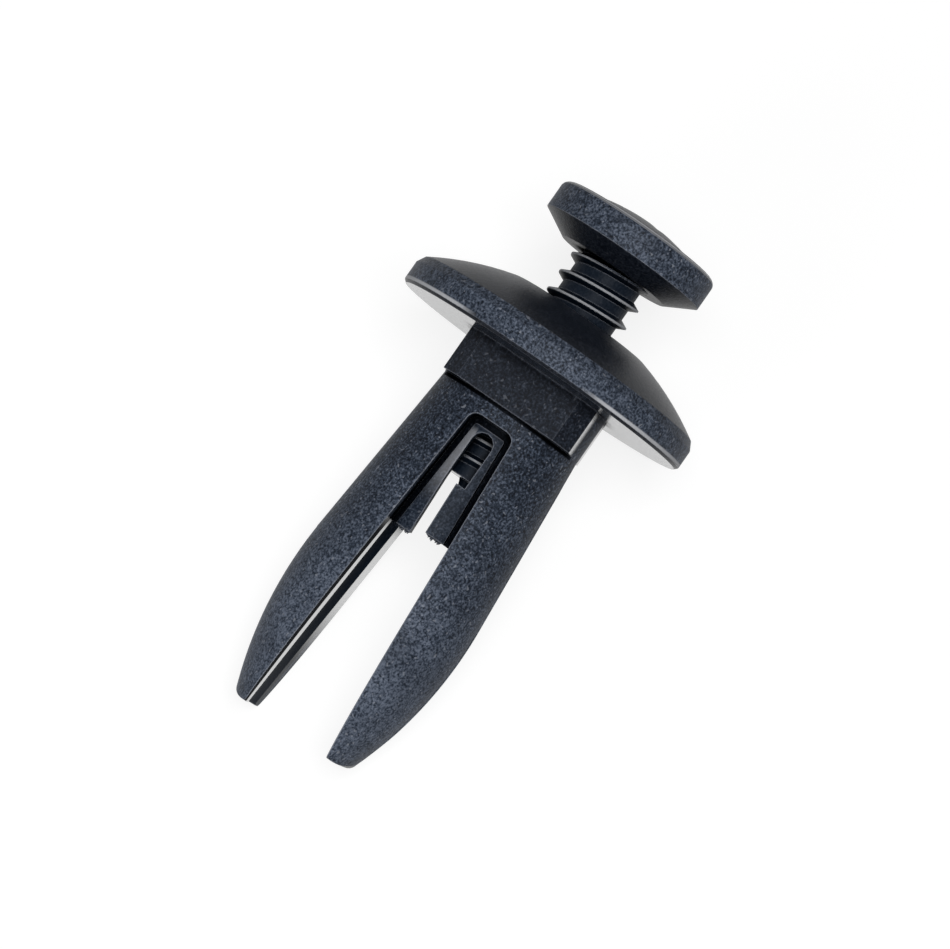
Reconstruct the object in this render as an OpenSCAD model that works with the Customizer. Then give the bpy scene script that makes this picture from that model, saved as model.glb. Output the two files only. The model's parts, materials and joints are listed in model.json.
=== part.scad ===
// Bumper clip: an expanding rivet of two plastic mouldings.
// A split grommet with bowed legs goes through the panel hole, and a threaded screw spreads it.
// Each moulding is drawn upright on its own axis: X across the two legs, Y through the slot,
// Z from the leg tips to the screw head, with zero on the flange's seat.
// The finished clip is then laid down on its flange rim and its two leg tips.

/* [Flange] */
// Diameter of the round flange
flange_d = 20; // [18:0.5:24]
// Height from the panel seat to the flat on top of the flange
flange_h = 4.1; // [3.5:0.1:5]
// Height of the flange's upright rim
rim_h = 1.4; // [1:0.1:1.6]
// Height at which the dome would meet the rim if the corner were sharp
dome_edge_h = 1.75; // [1.7:0.05:2.2]
// Diameter of the flat on top of the flange
plateau_d = 9.6; // [9.2:0.1:11]
// Depth of the countersunk seat for the screw head
seat_depth = 0.35; // [0.2:0.05:0.4]
// Broken edge round the bottom of the rim
rim_break = 0.2; // [0.1:0.05:0.4]

/* [Collar] */
// Width of the square collar across its flats
collar_w = 9.1; // [8.9:0.1:10.5]
// Height of the collar below the flange
collar_h = 3; // [2:0.1:4]
// Chamfer on the upright corners of the collar
collar_chamfer = 1.1; // [0.6:0.1:2]

/* [Legs] */
// Length from the panel seat to the leg tips
stem_l = 26; // [24:0.5:30]
// Diameter of the half-tube that each leg is bent from
leg_d = 8.8; // [8.4:0.1:9]
// Width across both legs at the flange
root_w = 9.15; // [9:0.05:9.6]
// Width across both legs where they bow out furthest
bulge_w = 11.76; // [11:0.1:13]
// Depth below the flange of the widest place
bulge_depth = 16.8; // [15:0.1:18]
// Radius of the bow along the lower legs
bow_r = 25; // [22:0.5:30]
// Radius of the outer corner of each tip
tip_round = 1.1; // [0.6:0.1:1.2]
// Radius of the front and back edges of each tip
tip_edge = 0.5; // [0.2:0.05:0.8]

/* [Slot] */
// Depth below the flange of the top of the slot
slot_depth = 4.1; // [3.8:0.1:5]
// Width of the slot at its top
slot_top_w = 3.1; // [2.8:0.1:3.4]
// Width of the slot at the leg tips
slot_tip_w = 5.95; // [5.6:0.05:6.2]
// Radius of the slot's top corners
slot_round = 0.65; // [0.6:0.05:0.9]
// Radius of the hollow inside the legs at the tips
hollow_tip_r = 3.3; // [3.2:0.05:3.5]

/* [Wedge lugs] */
// Wall of the lugs that the screw is driven between
lug_wall = 0.85; // [0.7:0.05:0.95]
// Wall that is left under the grooves beside the lugs
web_wall = 0.35; // [0.25:0.05:0.5]
// Width of the grooves between the lugs and the legs
groove_w = 0.5; // [0.3:0.02:0.56]
// Depth below the flange of the left lug's lower end
lug_depth = 12.2; // [11:0.1:13]
// How much higher the right lug ends
lug_step = 0.5; // [0.1:0.1:0.8]
// Depth below the flange at which the lugs end at the back
back_lug_depth = 7.6; // [6.5:0.1:8]
// Width of the slit between the lugs beside the screw
slit_w = 1.4; // [1:0.1:1.8]
// Depth below the flange of the top of the slit
slit_depth = 4.8; // [4.7:0.1:5.4]
// Depth below the flange of the ledge where the slit narrows
ledge_depth = 8.25; // [7.5:0.05:9]
// Width of the slit below the ledge
wedge_slit_w = 0.8; // [0.6:0.05:1]
// Sideways lean of the slit from the ledge to the lugs' ends
wedge_lean = 0.18; // [0:0.02:0.5]

/* [Screw head] */
// Diameter of the screw head
head_d = 11; // [10:0.1:12]
// Height of the head from its underside to its shoulder
head_h = 2.95; // [2.6:0.05:3.4]
// Diameter of the flat under the head
head_under_d = 7.4; // [7:0.1:7.8]
// Height of the chamfer under the head
head_chamfer_h = 1; // [0.8:0.05:1.3]
// Radius of the head's top corner
head_round = 0.5; // [0.2:0.05:0.8]
// Diameter of the raised button on the head
button_d = 8; // [7:0.1:8.6]
// Height of the raised button
button_h = 0.65; // [0.5:0.05:1]
// Span of the cross recess at the top of the button
recess_span = 5; // [4:0.1:5.4]
// Width of each arm of the cross recess
recess_w = 1.1; // [0.8:0.05:1.4]
// Depth of the cross recess
recess_depth = 2.2; // [1.6:0.1:2.6]
// Turn of the cross recess about the axis
recess_turn = 40; // [0:5:85]

/* [Screw thread] */
// Gap between the head and the flange with the screw set as delivered
screw_out = 3.6; // [2:0.1:5]
// Length of the shank below the head
shank_l = 15.4; // [13:0.1:17]
// Diameter over the thread crests
thread_d = 5.34; // [5:0.02:5.6]
// Diameter at the thread root
root_d = 4.28; // [3.8:0.02:4.6]
// Pitch of the right-hand thread
pitch = 1.27; // [1:0.01:1.6]
// Height of the thread ridge at its base, along the axis
ridge_w = 0.62; // [0.4:0.02:0.8]
// Height of the thin crest of the ridge, along the axis
crest_w = 0.1; // [0.06:0.02:0.2]
// Diameter of the sprue nib on the end of the shank
nib_d = 1.2; // [0.8:0.1:2]
// Length of the sprue nib
nib_l = 0.65; // [0.3:0.05:1]
// Angle about the axis at which the thread starts at the tip
thread_start = 20; // [0:5:355]
// Radial gap between the thread crests and the bore
screw_clear = 0.15; // [0.1:0.05:0.3]

/* [Hidden] */
plastic = [0.14, 0.15, 0.18];
$fn = 96;
over = 1;
lap = 0.3;
lap_step = 0.01;

flange_r = flange_d / 2;
leg_r = leg_d / 2;
thread_r = thread_d / 2;
root_r = root_d / 2;
head_r = head_d / 2;
bore_r = thread_r + screw_clear;
lug_r = bore_r + lug_wall;
web_r = bore_r + web_wall;

// The dome is a sphere through the plateau's edge and the rim
dome_z = (pow(plateau_d / 2, 2) + pow(flange_h, 2) - pow(flange_r, 2) - pow(dome_edge_h, 2))
    / (2 * (flange_h - dome_edge_h));
dome_r = norm([plateau_d / 2, flange_h - dome_z]);
rim_slope = (90 + asin(flange_r / dome_r)) / 2;

// Each leg runs straight from the flange, then follows an arc about bow_c that it meets smoothly
bow_c = [bulge_w / 2 - bow_r, -bulge_depth];
leg_start = [root_w / 2, 0];
leg_reach = norm(leg_start - bow_c);
straight_l = sqrt(leg_reach * leg_reach - bow_r * bow_r);
leg_tilt = asin(bow_r / leg_reach) - 90 + atan2(leg_start.y - bow_c.y, leg_start.x - bow_c.x);

// Outside of the bow at the level of the tips, and how far it leans in there
tip_x = bow_c.x + sqrt(bow_r * bow_r - pow(stem_l - bulge_depth, 2));
tip_lean = asin((stem_l - bulge_depth) / bow_r);

// The slot widens at an even rate below its round top corners
slot_slope = (slot_tip_w - slot_top_w) / 2 / (stem_l - slot_depth - slot_round);
function slot_half(depth) = slot_top_w / 2 + slot_slope * (depth - slot_depth - slot_round);

// Front to back, half the thickness of a bowed leg beside the slot
function edge_y(depth) =
    let (across = norm([slot_half(depth) - bow_c.x, depth - bulge_depth]) - bow_r + leg_r)
    sqrt(leg_r * leg_r - across * across);
tip_half = edge_y(stem_l);
edge_lean = atan2(edge_y(stem_l - tip_edge) - tip_half, tip_edge);

// Lying angle at which the rim's lower corner and both legs touch the ground together
lie = min([for (depth = [bulge_depth:0.1:stem_l]) atan2(flange_r - edge_y(depth), depth + rim_break)]);
rest_z = flange_r * cos(lie) - rim_break * sin(lie);

// The clip's ends along the ground: the tips' upper edges and the head's top corner
head_z = flange_h + screw_out;
tip_flat = tip_half - tip_edge * tan(45 - edge_lean / 2);
low_x = (tip_edge - stem_l) * cos(lie) - tip_flat * sin(lie) - tip_edge;
high_x = (head_r - head_round) * sin(lie) + (head_z + head_h - head_round) * cos(lie) + head_round;
rest_x = -(low_x + high_x) / 2;

// Points along a round corner
function arc(c, r, from, to, steps = 6) =
    [for (i = [0:steps]) c + r * [cos(from + (to - from) * i / steps), sin(from + (to - from) * i / steps)]];

// Round corner at the foot of an outline, up to a side that leans out and on along it
function tip_corner(reach, lean, r) =
    let (
        c = [reach - r * tan(45 - lean / 2), r - stem_l],
        side = [sin(lean), cos(lean)]
    )
    concat(arc(c, r, -90, -lean), [c + r * [side.y, -side.x] + stem_l / 2 * side]);

// Lays an upright moulding down, with the head towards +X and the front of the slot upwards
module lay_down() {
    translate([rest_x, 0, rest_z])
        rotate([0, 90 - lie, 0])
            rotate([0, 0, -90])
                children();
}

// Extrudes an outline drawn in X and Z through the clip from front to back
module through(depth) {
    rotate([90, 0, 0])
        linear_extrude(depth, center = true)
            children();
}

module flange() {
    rotate_extrude()
        intersection() {
            polygon([
                [0, 0],
                [flange_r - rim_break, 0],
                [flange_r, rim_break],
                [flange_r, rim_h],
                [flange_r - flange_h / tan(rim_slope), rim_h + flange_h],
                [0, rim_h + flange_h]
            ]);
            translate([0, dome_z])
                circle(dome_r);
            square([flange_r + over, flange_h]);
        }
}

// Countersink for the head's chamfer, with the head's own slope
module seat() {
    slope = (head_r - head_under_d / 2) / head_chamfer_h;
    floor_r = head_under_d / 2 + screw_clear;
    translate([0, 0, flange_h - seat_depth])
        cylinder(r1 = floor_r, r2 = floor_r + slope * (seat_depth + over), h = seat_depth + over);
}

// Square collar, with the legs' roots running straight up beside it to the flange
module collar() {
    half = collar_w / 2;
    flat = half - collar_chamfer;
    root_x = root_w / 2 + collar_h * tan(leg_tilt) - leg_r;
    translate([0, 0, -collar_h]) {
        linear_extrude(collar_h + lap)
            polygon([
                [half, flat], [flat, half], [-flat, half], [-half, flat],
                [-half, -flat], [-flat, -half], [flat, -half], [half, -flat]
            ]);
        for (side = [-1, 1])
            translate([side * root_x, 0, 0])
                cylinder(r = leg_r + 2 * lap_step, h = collar_h + lap);
    }
}

// Right-hand leg as a bent tube: a straight length from the flange and a bowed length to the tip.
// The straight length laps over the start of the bow by a hair's step.
module bent_leg() {
    intersection() {
        translate([bow_c.x, 0, bow_c.y])
            rotate([90, 0, 0])
                union() {
                    rotate_extrude(angle = leg_tilt + 45, start = -45)
                        translate([bow_r - leg_r, 0])
                            circle(leg_r - lap_step);
                    rotate([0, 0, leg_tilt])
                        translate([bow_r - leg_r, -lap, 0])
                            rotate([-90, 0, 0])
                                cylinder(r = leg_r, h = straight_l + lap + over);
                }
        through(leg_d + over)
            polygon(concat(
                [[0, -stem_l]],
                tip_corner(tip_x, tip_lean, tip_round),
                [[bulge_w, -lap], [0, -lap]]
            ));
    }
}

// Side view of the stem, with the front and back edges of the tips rounded
module tip_rounding() {
    side = concat(tip_corner(tip_half, edge_lean, tip_edge), [[2 * leg_d, over]]);
    rotate([90, 0, 90])
        linear_extrude(2 * bulge_w, center = true)
            polygon(concat(side, [for (i = [len(side) - 1:-1:0]) [-side[i].x, side[i].y]]));
}

// Outline of the slot, or one that stays inside it by a margin
module slot_outline(margin = 0) {
    top = slot_top_w / 2 - margin;
    tip = slot_half(stem_l + over) - margin;
    corner = slot_round - margin;
    corner_z = -slot_depth - slot_round;
    polygon(concat(
        arc([top - corner, corner_z], corner, 0, 90),
        arc([corner - top, corner_z], corner, 90, 180),
        [[-tip, -stem_l - over], [tip, -stem_l - over]]
    ));
}

// Lugs inside the legs, which the screw is driven between, with a groove along each side.
// The right one ends higher than the left, and at the back both end beside the screw.
module lugs() {
    difference() {
        translate([0, 0, -lug_depth])
            cylinder(r = web_r, h = lug_depth);
        lug_ends();
    }
    difference() {
        intersection() {
            translate([0, 0, -lug_depth])
                cylinder(r = lug_r, h = lug_depth);
            through(2 * leg_d)
                slot_outline(groove_w);
        }
        lug_ends();
    }
}

// What is open below the ends of the lugs
module lug_ends() {
    translate([0, -leg_d, -lug_depth - over])
        cube([leg_d, 2 * leg_d, lug_step + over]);
    translate([-leg_d, 0, -lug_depth - over])
        cube([2 * leg_d, leg_d, lug_depth + over - back_lug_depth]);
}

// Slit between the lugs: straight beside the screw, narrower and leaning below the ledge
module slit_outline() {
    half = slit_w / 2;
    low_z = -lug_depth - over;
    lean = wedge_lean * (lug_depth + over - ledge_depth) / (lug_depth - ledge_depth);
    polygon(concat(
        arc([0, -slit_depth - half], half, 0, 180),
        [
            [-half, -ledge_depth],
            [lean - half, low_z],
            [lean - half + wedge_slit_w, low_z],
            [wedge_slit_w - half, -ledge_depth],
            [half, -ledge_depth]
        ]
    ));
}

// Bore for the screw down to the lugs' ends, and the drafted hollow below them
module hollow() {
    translate([0, 0, -lug_depth])
        cylinder(r = bore_r, h = lug_depth + flange_h + over);
    draft = (hollow_tip_r - bore_r) / (stem_l - lug_depth);
    translate([0, 0, -stem_l - over])
        cylinder(r1 = hollow_tip_r + draft * over, r2 = bore_r, h = stem_l + over - lug_depth);
}

module legs() {
    difference() {
        intersection() {
            union() {
                bent_leg();
                mirror([1, 0, 0])
                    bent_leg();
            }
            tip_rounding();
        }
        difference() {
            through(2 * leg_d)
                slot_outline();
            lugs();
        }
        through(2 * lug_r)
            slit_outline();
    }
}

module clip_body() {
    color(plastic)
        lay_down()
            difference() {
                union() {
                    flange();
                    collar();
                    legs();
                }
                seat();
                hollow();
            }
}

// Screw head with a raised button and a cross recess, from its underside up
module head() {
    difference() {
        union() {
            rotate_extrude()
                polygon(concat(
                    [[0, 0], [head_under_d / 2, 0], [head_r, head_chamfer_h]],
                    arc([head_r - head_round, head_h - head_round], head_round, 0, 90),
                    [[0, head_h]]
                ));
            button();
        }
        recess();
    }
}

module button() {
    cap_r = (pow(button_d / 2, 2) + button_h * button_h) / (2 * button_h);
    intersection() {
        translate([0, 0, head_h + button_h - cap_r])
            sphere(cap_r);
        translate([0, 0, head_h - lap])
            cylinder(r = head_r - head_round, h = lap + button_h + over);
    }
}

module recess() {
    cut_h = recess_depth + over;
    cut_d = recess_w + (recess_span - recess_w) * cut_h / recess_depth;
    translate([0, 0, head_h + button_h - recess_depth])
        intersection() {
            cylinder(d1 = recess_w, d2 = cut_d, h = cut_h);
            for (turn = [0, 90])
                rotate([0, 0, recess_turn + turn])
                    translate([-cut_d, -recess_w / 2, 0])
                        cube([2 * cut_d, recess_w, cut_h]);
        }
}

// Shank with a right-hand thread: four points across the ridge, carried up a helix
module threaded_shank() {
    sides = 40;
    rise = pitch / sides;
    flank_w = (ridge_w - crest_w) / 2;
    steps = [0, flank_w, flank_w + crest_w, ridge_w];
    count = floor((shank_l + head_chamfer_h) / pitch * sides);
    fade = 0.75 * sides;
    function ridge_r(i, j) = j == 0 || j == 3 ? root_r
        : root_r + (thread_r - root_r) * min(1, i / fade);
    function helix_point(i, j) = [
        ridge_r(i, j) * cos(thread_start + 360 * i / sides),
        ridge_r(i, j) * sin(thread_start + 360 * i / sides),
        steps[j] + rise * i - shank_l
    ];
    function at(i, j) = 4 * i + j;
    low_point = 4 * (count + 1);
    high_point = low_point + 1;
    points = concat(
        [for (i = [0:count], j = [0:3]) helix_point(i, j)],
        [[0, 0, -shank_l], [0, 0, rise * count + ridge_w - shank_l]]
    );
    ridge = [for (i = [0:count - 1], j = [0:2], half = [0, 1])
        half == 0 ? [at(i, j), at(i, j + 1), at(i + 1, j + 1)] : [at(i, j), at(i + 1, j + 1), at(i + 1, j)]];
    root = [for (i = [0:count - sides - 1], half = [0, 1])
        half == 0 ? [at(i, 3), at(i + sides, 0), at(i + sides + 1, 0)]
            : [at(i, 3), at(i + sides + 1, 0), at(i + 1, 3)]];
    low_rim = concat([for (i = [0:sides]) at(i, 0)], [at(0, 3), at(0, 2), at(0, 1)]);
    high_rim = concat([for (i = [0:sides]) at(count - i, 3)], [at(count, 0), at(count, 1), at(count, 2)]);
    low_end = [for (i = [0:len(low_rim) - 1]) [low_point, low_rim[i], low_rim[(i + 1) % len(low_rim)]]];
    high_end = [for (i = [0:len(high_rim) - 1]) [high_point, high_rim[i], high_rim[(i + 1) % len(high_rim)]]];
    polyhedron(points, concat(ridge, root, low_end, high_end));
}

// Flat end of the shank inside the first turn of the thread, with the sprue's broken nib
module shank_end() {
    end_r = root_r - lap / 4;
    translate([0, 0, -shank_l - lap_step])
        cylinder(r = end_r, h = 1.5 * pitch);
    translate([0, 0, -shank_l - nib_l])
        cylinder(d1 = nib_d / 3, d2 = nib_d, h = nib_l + lap);
}

module drive_screw() {
    color(plastic)
        lay_down()
            translate([0, 0, head_z]) {
                head();
                threaded_shank();
                shank_end();
            }
}

clip_body();
drive_screw();
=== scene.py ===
import json
import math
from types import SimpleNamespace

import bmesh
import bpy
import numpy as np
from mathutils import Matrix, Vector


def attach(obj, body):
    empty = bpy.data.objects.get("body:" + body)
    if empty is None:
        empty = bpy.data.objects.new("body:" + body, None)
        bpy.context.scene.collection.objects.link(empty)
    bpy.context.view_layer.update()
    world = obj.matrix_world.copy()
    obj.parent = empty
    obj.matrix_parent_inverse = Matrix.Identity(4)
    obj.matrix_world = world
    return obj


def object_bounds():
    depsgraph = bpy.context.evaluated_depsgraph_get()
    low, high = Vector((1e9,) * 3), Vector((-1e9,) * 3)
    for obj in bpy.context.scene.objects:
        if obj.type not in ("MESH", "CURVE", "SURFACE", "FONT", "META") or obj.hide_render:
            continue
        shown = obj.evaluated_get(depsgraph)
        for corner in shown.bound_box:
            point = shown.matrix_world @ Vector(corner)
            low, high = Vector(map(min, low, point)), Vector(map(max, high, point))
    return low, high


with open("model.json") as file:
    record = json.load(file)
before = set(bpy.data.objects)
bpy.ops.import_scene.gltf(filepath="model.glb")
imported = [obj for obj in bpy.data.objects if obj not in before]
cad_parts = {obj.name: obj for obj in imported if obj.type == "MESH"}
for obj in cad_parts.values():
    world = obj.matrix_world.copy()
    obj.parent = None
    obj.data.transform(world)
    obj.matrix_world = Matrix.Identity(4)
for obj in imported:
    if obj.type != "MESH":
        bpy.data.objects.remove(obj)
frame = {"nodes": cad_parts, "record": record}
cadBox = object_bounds()
boxCentre = (cadBox[0] + cadBox[1]) / 2
mm = 0.001
print("frame loaded:", sorted(frame["nodes"]))


# A socket that can be used in plain arithmetic: each operator adds a Math node
class Wire:
    def __init__(self, kit, socket):
        self.kit = kit
        self.socket = socket

    def maths(self, operation, first, second, clamp=False):
        settings = {"operation": operation, "use_clamp": clamp}
        return self.kit.node("ShaderNodeMath", settings, {0: first, 1: second})

    def __add__(self, other):
        return self.maths("ADD", self, other)

    def __radd__(self, other):
        return self.maths("ADD", other, self)

    def __sub__(self, other):
        return self.maths("SUBTRACT", self, other)

    def __rsub__(self, other):
        return self.maths("SUBTRACT", other, self)

    def __mul__(self, other):
        return self.maths("MULTIPLY", self, other)

    def __rmul__(self, other):
        return self.maths("MULTIPLY", other, self)

    def __pow__(self, other):
        return self.maths("POWER", self, other)

    def __neg__(self):
        return 0.0 - self

    def clamped(self):
        return self.maths("ADD", self, 0.0, clamp=True)

    # Smooth rise from 0 at low to 1 at high
    def rise(self, low, high):
        settings = {"interpolation_type": "SMOOTHSTEP"}
        values = {"Value": self, "From Min": low, "From Max": high}
        return self.kit.node("ShaderNodeMapRange", settings, values)

    # Smooth fall from 1 at low to 0 at high
    def fall(self, low, high):
        return 1.0 - self.rise(low, high)

    # Rises over the first two values and falls over the last two
    def between(self, low, lowEnd, high, highEnd):
        return self.rise(low, lowEnd) * self.fall(high, highEnd)


# Builds the node tree of one material or of the world
class NodeKit:
    def __init__(self, tree):
        self.tree = tree
        tree.nodes.clear()

    # Adds a node: settings first, then a value or a link for each named socket
    def node(self, kind, settings=None, values=None, output=0):
        made = self.tree.nodes.new(kind)
        for name, value in (settings or {}).items():
            setattr(made, name, value)
        for name, value in (values or {}).items():
            socket = made.inputs[name]
            if isinstance(value, Wire):
                self.tree.links.new(value.socket, socket)
            else:
                socket.default_value = value
        return Wire(self, made.outputs[output]) if len(made.outputs) else None

    # Mixes two colours by a factor, at the sockets that a Mix node has for colours
    def mix(self, factor, first, second):
        settings = {"data_type": "RGBA"}
        return self.node("ShaderNodeMix", settings, {0: factor, 6: first, 7: second}, output=2)

    def vector(self, operation, first, second, output=0):
        settings = {"operation": operation}
        return self.node("ShaderNodeVectorMath", settings, {0: first, 1: second}, output)

    def dot(self, first, second):
        return self.vector("DOT_PRODUCT", first, second, output="Value")

    def noise(self, place, values):
        return self.node("ShaderNodeTexNoise", None, {"Vector": place, **values})


def newMaterial(name):
    made = bpy.data.materials.new(name)
    made.use_nodes = True
    return made, NodeKit(made.node_tree)


# The clip lies tilted. Its axis runs from the leg tips to the head, square to the flange's seat,
# and the seat's mount is a point of that face beside the axis.
seatMount = next(mount for mount in frame["record"]["mounts"] if mount["name"] == "panel_seat")
axisWay = -np.array(seatMount["axis"])
acrossWay = np.array((0.0, -1.0, 0.0))
backWay = np.cross(axisWay, acrossWay)
seatMiddle = np.array(seatMount["pos_m"]) * (1, 0, 1)

# Black moulded plastic: a spark-eroded grain with pits, flecks and dust, and clouded colour. Pale edges
# are partly wear and partly painted highlight, a few edges and crests get painted highlights, and
# creases get painted shade. The collar gets painted shade, the inside is smooth and gets painted shade,
# the slot's faces and the flange's underside are polished, and faces that point along the axis, such as
# the dome, get painted shade as dull black. The legs are painted lighter towards their tips. Heights run
# up the axis from the flange's seat.
clipPlastic = {
    "colour": (0.029, 0.039, 0.058, 1.0),
    "pitAndShadeColour": (0.002, 0.003, 0.006, 1.0),
    "fleckColour": (0.148, 0.174, 0.228, 1.0),
    "smoothAndShadeColour": (0.002, 0.006, 0.013, 1.0),
    "dustAndHighlightColour": (0.300, 0.320, 0.370, 1.0),
    "paintedHighlightColour": (0.580, 0.590, 0.620, 1.0),
    "creaseShadeColour": (0.0005, 0.0006, 0.001, 1.0),
    # Patterns, and the stretch of each that shows
    "grain": {"Scale": 6900.0, "Detail": 2.0, "Roughness": 0.6},
    "mottle": {"Scale": 2400.0, "Detail": 2.0, "Roughness": 0.5},
    "dust": {"Scale": 4600.0, "Detail": 0.0, "Roughness": 0.5},
    "cloud": {"Scale": 380.0, "Detail": 3.0, "Roughness": 0.6},
    "grainHeight": 0.026 * mm,
    "pitSpan": (0.29, 0.55),
    "fleckSpan": (0.45, 0.81),
    "fleckDrop": 0.045,
    "mottleShare": 0.30,
    "dustSpan": (0.72, 0.80),
    "dustShare": 0.55,
    "cloudSpan": (0.35, 0.70),
    "cloudShare": 0.30,
    # Painted light adds flecks towards the leg tips, leaving the legs darker near the flange, and above
    # the flange's seat
    "legPaintedLight": 0.16125,
    "legLightSpan": (-22.0 * mm, -3.0 * mm),
    "headPaintedLight": 0.09375,
    # Painted highlights on edges, and painted shade in creases
    "samples": 6,
    "edgeRadius": 0.16 * mm,
    "edgeSpan": (0.01, 0.22),
    "edgeHighlightShare": 0.75,
    "collarEdgeLoss": 0.5,
    "creaseReach": 1.0 * mm,
    "creaseSpan": (0.25, 0.90),
    # Painted shadow lines at the collar's foot and along the slot's front band
    "lineShade": 0.85,  # dark lines at the collar's foot and the slot's front
    # Gloss
    "roughness": 0.50,
    "smoothRoughness": 0.18,
    "axisFaceRoughness": 0.34,
    "grainRoughness": 0.2,
    "specular": 0.08,
    "coatRoughness": 0.16,
    "seatCoatLoss": 0.55,
    "smoothGrainLoss": 0.9,
    # Smooth faces, and faces that get painted shade
    "hair": 0.05 * mm,  # width of a mask's soft border
    "flatFacing": (0.95, 0.99),
    "collarSpan": (-3.0 * mm, -0.1 * mm),
    "collarHalf": 4.56 * mm,
    "collarFoot": 0.22 * mm,
    # The collar gets painted shade, as under the flange's overhang
    "collarShade": 0.60,
    # The inside of the bore and slot, and the hollow below the lugs, get painted shade
    "insideRadius": 3.85 * mm,
    "insideTop": (7.3 * mm, 7.5 * mm),
    "insideShade": 0.55,
    "hollowSpan": (-13.2 * mm, -11.4 * mm),
    "hollowShade": 0.40,
    "seatTop": 1.0 * mm,
    "slotBand": 3.05 * mm,
    "slotMiddle": -17.0 * mm,
    "slotTaper": 10.0,
    "slotFade": (-23.0 * mm, -17.0 * mm),
    "polishedShade": 0.6,
    # Faces that point along the axis, such as the dome and the head's chamfer, are painted dark as shade
    "shadedAxisFacing": (0.12, 0.45),
    "axisFacePaintedShade": 0.84,
    "axisFaceShadeDullness": 0.10,
    # Painted highlights: the flange's lower edge, the head's corner, the thread's crests and the left
    # lug
    "flangeHighlight": 0.80,
    "flangeSpan": (0.20 * mm, 0.37 * mm),
    "flangeRadius": 9.75 * mm,
    "flangeSides": (3.56 * mm, 5.56 * mm),
    "cornerGlint": 0.80,
    "cornerFacing": (0.55, 0.68, 0.82, 0.95),
    "cornerHeight": 10.1 * mm,
    "threadGlint": 0.0,
    "threadSpan": (2.56 * mm, 2.66 * mm),
    "lugHighlight": 0.27,
    "lugSpan": (-10.5 * mm, -7.0 * mm, -5.2 * mm, -4.7 * mm),
    "lugSide": (-1.42 * mm, -0.70 * mm),
    "lugRadius": 3.40 * mm,
}
# The screw's thread is smoother than the clip's inside, with deeper painted shade and a painted glint on
# its crests
screwPlastic = {
    **clipPlastic,
    "insideShade": 0.90,
    "threadGlint": 0.55,
    "lugHighlight": 0.0,
    "collarHalf": -0.1 * mm,  # under 0, because the screw has no collar or slot
}


# Where a point lies, up the axis, to one side, back and out, and which way its face points
def clipSpace(kit, trueNormal):
    place = kit.node("ShaderNodeTexCoord", output="Object")
    toOwn = {"vector_type": "NORMAL", "convert_from": "WORLD", "convert_to": "OBJECT"}
    ownNormal = kit.node("ShaderNodeVectorTransform", toOwn, {"Vector": trueNormal})
    offset = kit.vector("SUBTRACT", place, tuple(seatMiddle))
    aside = kit.dot(offset, tuple(acrossWay))
    depth = kit.dot(offset, tuple(backWay))
    return SimpleNamespace(
        place=place,
        height=kit.dot(offset, tuple(axisWay)),
        aside=aside,
        depth=depth,
        fromMiddle=(aside * aside) ** 0.5,
        radius=(aside * aside + depth * depth) ** 0.5,
        along=kit.dot(ownNormal, tuple(axisWay)),
        across=kit.dot(ownNormal, tuple(acrossWay)),
    )


# Masks of the smooth and polished faces of the mould, and of the places that get painted shade
def mouldMasks(at, look):
    hair = look["hair"]
    low, high = look["collarSpan"]
    footLow = low - look["collarFoot"]
    near = at.fromMiddle.fall(look["collarHalf"], look["collarHalf"] + hair)
    collar = at.height.between(low - hair, low + hair, high - hair, high + hair) * near
    # A line of painted shadow just below the collar
    footShadow = at.height.between(footLow - hair, footLow, low - hair, low) * near
    inside = at.radius.fall(look["insideRadius"] - hair, look["insideRadius"] + hair)
    inside = inside * at.height.fall(*look["insideTop"])
    belowLugs = at.height.fall(*look["hollowSpan"])

    # The flange's underside, and the slot's faces between a band of painted shade in front and a fade at
    # the back
    seat = (-at.along).rise(*look["flatFacing"])
    seat = seat * at.height.fall(look["seatTop"] - hair, look["seatTop"])
    slotFace = (at.across * at.across).rise(*look["flatFacing"]) * near
    fromBow = at.height - look["slotMiddle"]
    inward = look["slotTaper"] * fromBow * fromBow - at.depth
    # A band of painted shade along the front of each slot face, below the lugs
    slotFrontShade = slotFace * belowLugs * inward.rise(look["slotBand"] - hair, look["slotBand"] + hair)
    slotBack = at.depth.rise(0.0, hair) * at.height.fall(*look["slotFade"])
    slotPolish = (slotFace - slotFrontShade) * (1.0 - slotBack) * (belowLugs + collar)
    polished = (seat + slotPolish).clamped()

    # Painted shade inside, deeper in the hollow below the lugs, with the darker tone of polished faces
    shade = look["insideShade"] + look["hollowShade"] * belowLugs
    smooth = (shade * inside + look["polishedShade"] * polished).clamped()
    # Faces that point along the axis get painted shade, and a lower roughness
    shadedAxisFaces = (at.along * at.along).rise(*look["shadedAxisFacing"]) * (1.0 - polished)
    return SimpleNamespace(collar=collar, footShadow=footShadow, inside=inside, seat=seat, slotFrontShade=slotFrontShade,
                           polished=polished, smooth=smooth, shadedAxisFaces=shadedAxisFaces)


# How strongly each place gets a painted highlight
def paintedHighlightMask(at, mould, look):
    hair = look["hair"]
    low, high = look["flangeSpan"]
    flange = at.height.between(low - hair, low, high - hair, high + hair)
    flange = flange * at.radius.rise(look["flangeRadius"], look["flangeRadius"] + hair)
    flange = flange * at.fromMiddle.rise(*look["flangeSides"])
    corner = at.along.between(*look["cornerFacing"])
    corner = corner * at.height.rise(look["cornerHeight"] - hair, look["cornerHeight"])
    crest = at.radius.rise(*look["threadSpan"]) * mould.inside
    outer, inner = look["lugSide"]
    lug = at.aside.between(outer - hair, outer, inner, inner + hair) * mould.inside
    lug = lug * at.radius.rise(look["lugRadius"], look["lugRadius"] + hair)
    lug = lug * (-at.depth).rise(0.0, hair) * at.height.between(*look["lugSpan"])
    # Painted reflection along the flange's lower edge, painted glints on the head's corner, thread
    # crests and left lug
    highlights = look["flangeHighlight"] * flange + look["cornerGlint"] * corner
    return (highlights + look["threadGlint"] * crest + look["lugHighlight"] * lug).clamped()
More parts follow.
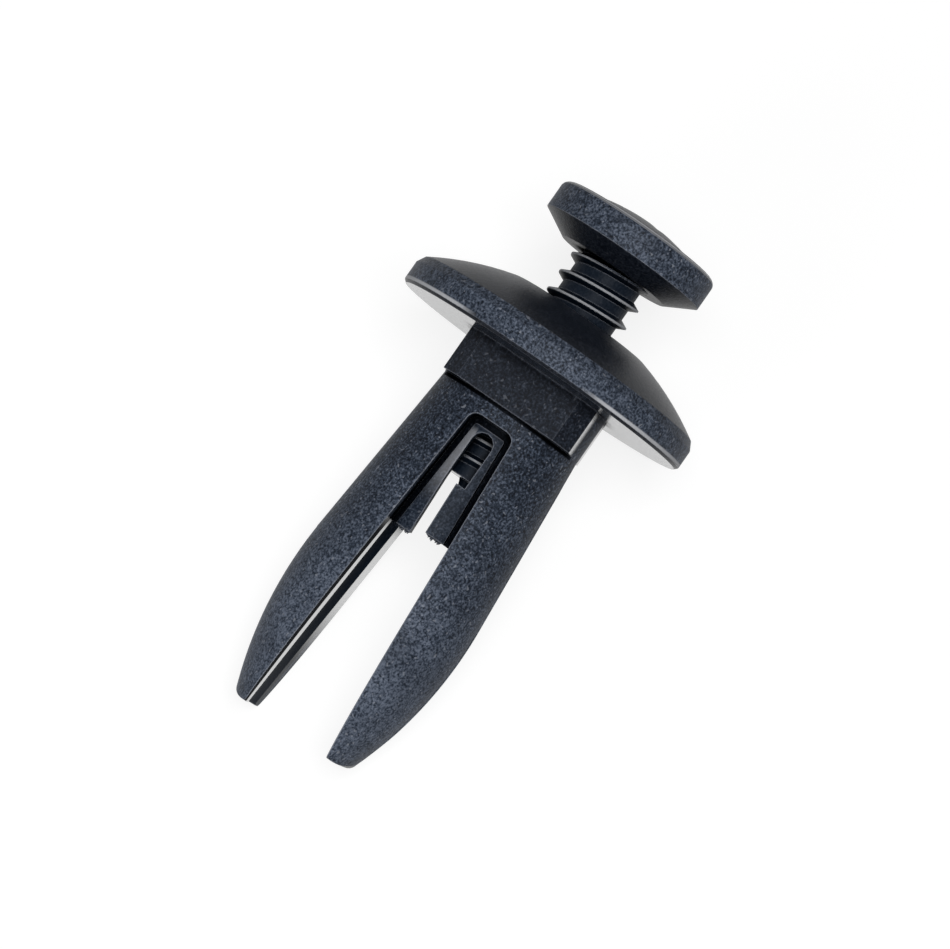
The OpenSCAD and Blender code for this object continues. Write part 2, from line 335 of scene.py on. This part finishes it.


# Pits and plain colour by the grain, then one layer over another, painted shade and painted highlights
# among them
def mouldedColour(kit, at, mould, grain, edgeHighlight, look):
    mottle, dust, cloud = (kit.noise(at.place, look[name]) for name in ("mottle", "dust", "cloud"))
    high = look["collarSpan"][1]
    # Painted light: lighter towards the leg tips and above the flange's seat
    paintedLight = look["legPaintedLight"] * at.height.fall(*look["legLightSpan"])
    paintedLight = paintedLight + look["headPaintedLight"] * at.height.rise(high - look["hair"], high + look["hair"])
    speck = grain + look["mottleShare"] * (mottle - 0.5) + paintedLight - look["fleckDrop"]
    # Painted shade on the collar, as under the flange, and on faces that point along the axis
    paintedShade = (look["collarShade"] * mould.collar + look["axisFacePaintedShade"] * mould.shadedAxisFaces).clamped()
    layers = (
        (speck.rise(*look["fleckSpan"]), "fleckColour"),
        (look["dustShare"] * dust.rise(*look["dustSpan"]), "dustAndHighlightColour"),
        (look["cloudShare"] * cloud.rise(*look["cloudSpan"]), "pitAndShadeColour"),
        (paintedShade, "pitAndShadeColour"),
        (mould.smooth, "smoothAndShadeColour"),
        (look["edgeHighlightShare"] * edgeHighlight, "dustAndHighlightColour"),
        (paintedHighlightMask(at, mould, look), "paintedHighlightColour"),
    )
    colour = kit.mix(speck.rise(*look["pitSpan"]), look["pitAndShadeColour"], look["colour"])
    for share, layer in layers:
        colour = kit.mix(share, colour, look[layer])
    return colour


def plasticFinish(name, look):
    material, kit = newMaterial(name)
    trueNormal = kit.node("ShaderNodeNewGeometry", output="Normal")
    at = clipSpace(kit, trueNormal)
    mould = mouldMasks(at, look)
    grain = kit.noise(at.place, look["grain"])

    # Edges are where the bevelled normal leaves the true one, and get a painted highlight; creases are
    # where little of the room is seen, and get painted shade
    rays = {"samples": look["samples"]}
    softNormal = kit.node("ShaderNodeBevel", rays, {"Radius": look["edgeRadius"]})
    # Pale edges: partly wear, partly painted highlight
    edgeHighlight = (1.0 - kit.dot(softNormal, trueNormal)).rise(*look["edgeSpan"])
    edgeHighlight = edgeHighlight * (1.0 - look["collarEdgeLoss"] * mould.collar)
    reach = {"Distance": look["creaseReach"]}
    openness = kit.node("ShaderNodeAmbientOcclusion", rays, reach, output="AO")
    # Painted shade in creases, plus the painted shadow lines
    creaseShade = openness.fall(*look["creaseSpan"]) + look["lineShade"] * (mould.footShadow + mould.slotFrontShade)

    bump = kit.node("ShaderNodeBump", None, {
        "Strength": 1.0 - look["smoothGrainLoss"] * mould.smooth,
        "Distance": look["grainHeight"],
        "Height": grain,
        "Normal": softNormal,
    })
    roughness = look["roughness"] + look["grainRoughness"] * (grain - 0.5)
    roughness = roughness - (look["roughness"] - look["smoothRoughness"]) * mould.polished
    roughness = roughness - (look["roughness"] - look["axisFaceRoughness"]) * mould.shadedAxisFaces
    sheen = kit.node("ShaderNodeBsdfPrincipled", None, {
        "Base Color": mouldedColour(kit, at, mould, grain, edgeHighlight, look),
        "Roughness": roughness,
        "Specular IOR Level": look["specular"],
        "Coat Weight": mould.polished * (1.0 - look["seatCoatLoss"] * mould.seat),
        "Coat Roughness": look["coatRoughness"],
        "Normal": bump,
    })
    # A near-black diffuse sheet mixed in as painted shade: in creases, on the shadow lines and on faces
    # along the axis
    shadeShader = kit.node("ShaderNodeBsdfDiffuse", None, {"Color": look["creaseShadeColour"]})
    shadeAmount = (creaseShade + look["axisFaceShadeDullness"] * mould.shadedAxisFaces * (1.0 - edgeHighlight)).clamped()
    shader = kit.node("ShaderNodeMixShader", None, {0: shadeAmount, 1: sheen, 2: shadeShader})
    kit.node("ShaderNodeOutputMaterial", None, {"Surface": shader})
    return material


def dress(node, material):
    piece = frame["nodes"][node]
    piece.data.materials.clear()
    piece.data.materials.append(material)


bodyPlastic = plasticFinish("bodyPlastic", clipPlastic)
dress("clip_body", bodyPlastic)
dress("drive_screw", plasticFinish("screwPlastic", screwPlastic))
print("plastics made")


# Points given across, back and up along the clip, in millimetres, put where the clip lies
def clipPoints(across, back, up):
    spread = [np.asarray(part, float)[..., None] * way for part, way in
              ((across, acrossWay), (back, backWay), (up, axisWay))]
    return seatMiddle + (spread[0] + spread[1] + spread[2]) * mm


# 1 along a path, falling evenly to a thin end at both ends
def thinEnds(way, rate, thinnest=0.05):
    return np.clip(rate * np.minimum(way, 1 - way), thinnest, 1)


# A closed profile carried along a path: each ring is the path's point, plus the profile's first value
# along sideWay and its second value, times that ring's reach, along outWay
def sweepPiece(name, path, sideWay, outWay, profile, reach):
    rings = (path[:, None] + profile[None, :, :1] * mm * sideWay[:, None]
             + profile[None, :, 1:] * reach[:, None, None] * mm * outWay[:, None])
    count, points = rings.shape[:2]
    ring, point = np.meshgrid(np.arange(count - 1) * points, np.arange(points), indexing="ij")
    after = (point + 1) % points
    quads = np.stack([ring + point, ring + after, ring + points + after, ring + points + point], -1)
    ends = [list(range(points)), list(range((count - 1) * points, count * points))]
    mesh = bpy.data.meshes.new(name)
    mesh.from_pydata(rings.reshape(-1, 3).tolist(), [], quads.reshape(-1, 4).tolist() + ends)
    shell = bmesh.new()
    shell.from_mesh(mesh)
    bmesh.ops.recalc_face_normals(shell, faces=shell.faces)
    shell.to_mesh(mesh)
    shell.free()
    mesh.materials.append(bodyPlastic)
    piece = bpy.data.objects.new(name, mesh)
    bpy.context.scene.collection.objects.link(piece)
    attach(piece, "body")


# Ragged flash left by the mould on the lower ends of the two wedge lugs, in degrees and millimetres
lugFlash = {
    "left": {"span": (-25.5, -8.9), "height": -12.2, "seed": 3},
    "right": {"span": (5.0, 24.6), "height": -11.7, "seed": 8},
    "radius": 3.32,
    "wall": 0.30,
    "shoulder": 0.7,
    "reach": (0.06, 0.34),
    "rootDepth": 0.08,
    "waves": (5.0, 9.0, 17.0, 31.0),
    "waveSizes": (1.0, 0.8, 0.6, 0.4),
    "endRate": 8,
    "steps": 90,
}


# The path is an arc round the axis at the lug's end. The reach along it is a sum of sines, squared,
# so that a few teeth stand out, and it closes at both ends.
def makeFlash(name, look, side):
    turn = np.radians(np.linspace(*side["span"], look["steps"]))
    across = look["radius"] * np.sin(turn)
    back = -look["radius"] * np.cos(turn)
    path = clipPoints(across, back, 0 * turn + side["height"])
    outward = np.sin(turn)[:, None] * acrossWay - np.cos(turn)[:, None] * backWay
    way = np.linspace(0, 1, look["steps"])
    waves = np.array(look["waves"])
    sizes = np.array(look["waveSizes"])
    wave = (sizes * np.sin(waves * way[:, None] * math.pi + waves * side["seed"])).sum(1) / sizes.sum()
    low, high = look["reach"]
    reach = (low + (high - low) * (0.5 + 0.5 * wave) ** 2) * thinEnds(way, look["endRate"])
    half = look["wall"] / 2
    root = -look["rootDepth"] / low
    shoulder = look["shoulder"]
    profile = np.array(((-half, root), (-half, 0.0), (-half / 2, shoulder), (0.0, 1.0),
                        (half / 2, shoulder), (half, 0.0), (half, root)))
    downWay = np.repeat(-axisWay[None], look["steps"], 0)
    sweepPiece(name, path, outward, downWay, profile, reach)


makeFlash("leftLugFlash", lugFlash, lugFlash["left"])
makeFlash("rightLugFlash", lugFlash, lugFlash["right"])


# Fine witness line of the mould along the outer side of each leg, and the bow of that side,
# in millimetres and degrees
partingLine = {
    "width": 0.16,
    "rise": 0.04,
    "rootDepth": 0.06,
    "start": -3.05,
    "end": -24.9,
    "endRate": 10,
    "steps": 80,
    "roundSteps": 9,
}
legBow = {"radius": 25.0, "middle": (-19.12, -16.8), "rootHalf": 4.575, "tilt": 4.731}


# The path runs straight down from the flange at the leg's tilt, then along the arc of its bow.
# The profile is half an ellipse on a root that sinks into the leg.
def makePartingLine(name, look, bow, side):
    way = np.linspace(0, 1, look["steps"])
    up = np.linspace(look["start"], look["end"], look["steps"])
    middleX, middleZ = bow["middle"]
    tilt = math.radians(bow["tilt"])
    slope = math.tan(tilt)
    straight = up > middleZ + bow["radius"] * math.sin(tilt)
    arcX = middleX + np.sqrt(bow["radius"] ** 2 - (up - middleZ) ** 2)
    out = np.where(straight, bow["rootHalf"] - up * slope, arcX)
    lean = np.where(straight, slope, (up - middleZ) / (arcX - middleX))
    path = clipPoints(side * out, 0 * up, up)
    outward = side * acrossWay + lean[:, None] * axisWay
    outward = outward / np.linalg.norm(outward, axis=1)[:, None]
    half = look["width"] / 2
    turn = np.linspace(0, math.pi, look["roundSteps"])
    crown = np.stack((np.cos(turn) * half, np.sin(turn) * look["rise"]), 1)
    profile = np.concatenate((crown, ((-half, -look["rootDepth"]), (half, -look["rootDepth"]))))
    backWays = np.repeat(backWay[None], look["steps"], 0)
    sweepPiece(name, path, backWays, outward, profile, thinEnds(way, look["endRate"]))


makePartingLine("rightPartingLine", partingLine, legBow, 1)
makePartingLine("leftPartingLine", partingLine, legBow, -1)
print("mould marks made")


# Pale floor, white to the camera, that keeps the shadow
paleFloor = {"size": 3.0, "colour": (0.22, 0.22, 0.22, 1.0), "lift": 0.83}


# 1 where the camera sees a surface, straight or in a gloss or glass
def seenDirectly(kit):
    path = kit.node("ShaderNodeLightPath")
    outputs = path.socket.node.outputs
    kinds = ("Is Camera Ray", "Is Glossy Ray", "Is Transmission Ray")
    rays = [Wire(kit, outputs[kind]) for kind in kinds]
    return (rays[0] + rays[1] + rays[2]).clamped()


def makeFloor(look):
    half = look["size"] / 2
    mesh = bpy.data.meshes.new("paleFloor")
    corners = [(-half, -half, 0), (half, -half, 0), (half, half, 0), (-half, half, 0)]
    mesh.from_pydata(corners, [], [(0, 1, 2, 3)])
    floor = bpy.data.objects.new("paleFloor", mesh)
    bpy.context.scene.collection.objects.link(floor)
    material, kit = newMaterial("paleFloor")
    matte = kit.node("ShaderNodeBsdfDiffuse", None, {"Color": look["colour"]})
    glow = kit.node("ShaderNodeEmission", None, {"Strength": look["lift"] * seenDirectly(kit)})
    both = kit.node("ShaderNodeAddShader", None, {0: matte, 1: glow})
    kit.node("ShaderNodeOutputMaterial", None, {"Surface": both})
    mesh.materials.append(material)


makeFloor(paleFloor)


# Soft studio light: an even white room and two large lamps above the clip
studioLight = {
    "roomColour": (1, 1, 1, 1),
    "roomStrength": 0.04,
    "seenStrength": 1.0,
    "lamps": [
        {"name": "keyLamp", "place": (-0.10, -0.10, 0.60), "size": 0.30, "power": 3.0},
        {"name": "tipLamp", "place": (-0.50, 0.10, 0.30), "size": 0.24, "power": 0.7},
    ],
}


def makeLights(look):
    world = bpy.data.worlds.new("whiteRoom")
    world.use_nodes = True
    bpy.context.scene.world = world
    kit = NodeKit(world.node_tree)
    white = look["roomColour"]
    room = kit.node("ShaderNodeBackground", None, {"Color": white, "Strength": look["roomStrength"]})
    backdrop = kit.node("ShaderNodeBackground", None, {"Color": white, "Strength": look["seenStrength"]})
    both = kit.node("ShaderNodeMixShader", None, {0: seenDirectly(kit), 1: room, 2: backdrop})
    kit.node("ShaderNodeOutputWorld", None, {"Surface": both})
    for lamp in look["lamps"]:
        data = bpy.data.lights.new(lamp["name"], "AREA")
        data.size = lamp["size"]
        data.energy = lamp["power"]
        made = bpy.data.objects.new(lamp["name"], data)
        made.location = lamp["place"]
        made.rotation_euler = (boxCentre - made.location).to_track_quat("-Z", "Y").to_euler()
        bpy.context.scene.collection.objects.link(made)


makeLights(studioLight)
print("floor and lights made")


# Camera of the photograph, in degrees, metres and pixels of its frame
photoCamera = {
    "azimuth": -64.2,
    "elevation": 71.46,
    "roll": 10.0,
    "distance": 0.300,
    "focalPixels": 5021.0,
    "framePixels": 950.0,
    "sensorWidth": 36.0,
    "clipSpan": (0.01, 10.0),
    "aimHeight": 9 * mm,
    "aimRight": 0.257 * mm,
    "aimUp": -0.277 * mm,
}


def makeCamera(look):
    turn, lift, roll = (math.radians(look[name]) for name in ("azimuth", "elevation", "roll"))
    back = Vector((math.sin(turn) * math.cos(lift), -math.cos(turn) * math.cos(lift), math.sin(lift)))
    level = Vector((math.cos(turn), math.sin(turn), 0))
    upright = back.cross(level)
    right = math.cos(roll) * level + math.sin(roll) * upright
    up = back.cross(right)
    aim = Vector((0, 0, look["aimHeight"])) + look["aimRight"] * right + look["aimUp"] * up
    data = bpy.data.cameras.new("photoCamera")
    data.sensor_width = look["sensorWidth"]
    data.lens = look["focalPixels"] / look["framePixels"] * look["sensorWidth"]
    data.clip_start, data.clip_end = look["clipSpan"]
    camera = bpy.data.objects.new("photoCamera", data)
    stand = Matrix.Translation(aim + look["distance"] * back)
    camera.matrix_world = stand @ Matrix((right, up, back)).transposed().to_4x4()
    bpy.context.scene.collection.objects.link(camera)
    bpy.context.scene.camera = camera


makeCamera(photoCamera)
bpy.context.scene.view_settings.view_transform = "Standard"
